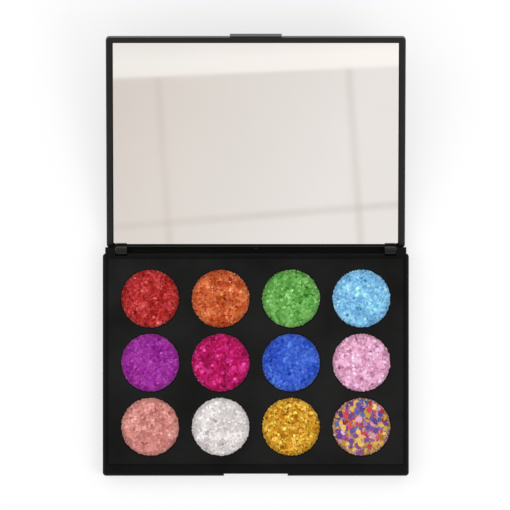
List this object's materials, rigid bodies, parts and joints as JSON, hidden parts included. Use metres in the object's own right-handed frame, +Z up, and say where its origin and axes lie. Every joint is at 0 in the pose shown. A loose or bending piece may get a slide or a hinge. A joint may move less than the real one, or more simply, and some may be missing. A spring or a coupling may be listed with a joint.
{
  "type": "eyeshadow palette",
  "caption": "Flat black hinged make-up case with round pans of pressed glitter in a tray, a mirror in the lid and a lift tab over a finger notch.",
  "frame": {"origin": "middle of the base's flat underside", "axes": "+X to the right, +Y from the front edge towards the hinge and the open lid, +Z up"},
  "size_m": [0.136, 0.1959, 0.0366],
  "materials": {
    "black_plastic": "moulded black plastic, satin gloss",
    "set_glue": "set hot glue, cloudy",
    "foam_tape": "white double-sided foam tape",
    "mirror_glass": "silvered glass with a fine ground edge",
    "pin_steel": "blackened drawn wire",
    "pan_tin": "pressed thin sheet, dark lacquer",
    "glitter_red": "pressed metallised flakes",
    "glitter_orange": "pressed metallised flakes",
    "glitter_green": "pressed metallised flakes",
    "glitter_sky_blue": "pressed metallised flakes",
    "glitter_violet": "pressed metallised flakes",
    "glitter_magenta": "pressed metallised flakes",
    "glitter_royal_blue": "pressed metallised flakes",
    "glitter_pink": "pressed metallised flakes",
    "glitter_rose_gold": "pressed metallised flakes",
    "glitter_silver": "pressed metallised flakes",
    "glitter_gold": "pressed metallised flakes",
    "glitter_confetti": "pressed metallised flakes"
  },
  "bodies": {
    "base": {"base_shell": "black_plastic", "tray_insert": "black_plastic", "tray_glue_dots": "set_glue", "pan_glue_dots": "set_glue", "hinge_pin_left": "pin_steel", "hinge_pin_right": "pin_steel", "pan_red": "pan_tin", "pan_orange": "pan_tin", "pan_green": "pan_tin", "pan_sky_blue": "pan_tin", "pan_violet": "pan_tin", "pan_magenta": "pan_tin", "pan_royal_blue": "pan_tin", "pan_pink": "pan_tin", "pan_rose_gold": "pan_tin", "pan_silver": "pan_tin", "pan_gold": "pan_tin", "pan_confetti": "pan_tin", "glitter_red": "glitter_red", "glitter_orange": "glitter_orange", "glitter_green": "glitter_green", "glitter_sky_blue": "glitter_sky_blue", "glitter_violet": "glitter_violet", "glitter_magenta": "glitter_magenta", "glitter_royal_blue": "glitter_royal_blue", "glitter_pink": "glitter_pink", "glitter_rose_gold": "glitter_rose_gold", "glitter_silver": "glitter_silver", "glitter_gold": "glitter_gold", "glitter_confetti": "glitter_confetti"},
    "lid": {"lid_shell": "black_plastic", "mirror": "mirror_glass", "mirror_tape_strips": "foam_tape"}
  },
  "joints": [
    {"name": "lid_hinge", "type": "hinge", "parent": "base", "child": "lid", "pos_m": [0, 0.0503, 0.0061], "axis": [1, 0, 0], "range_deg": [0, 162]}
  ]
}
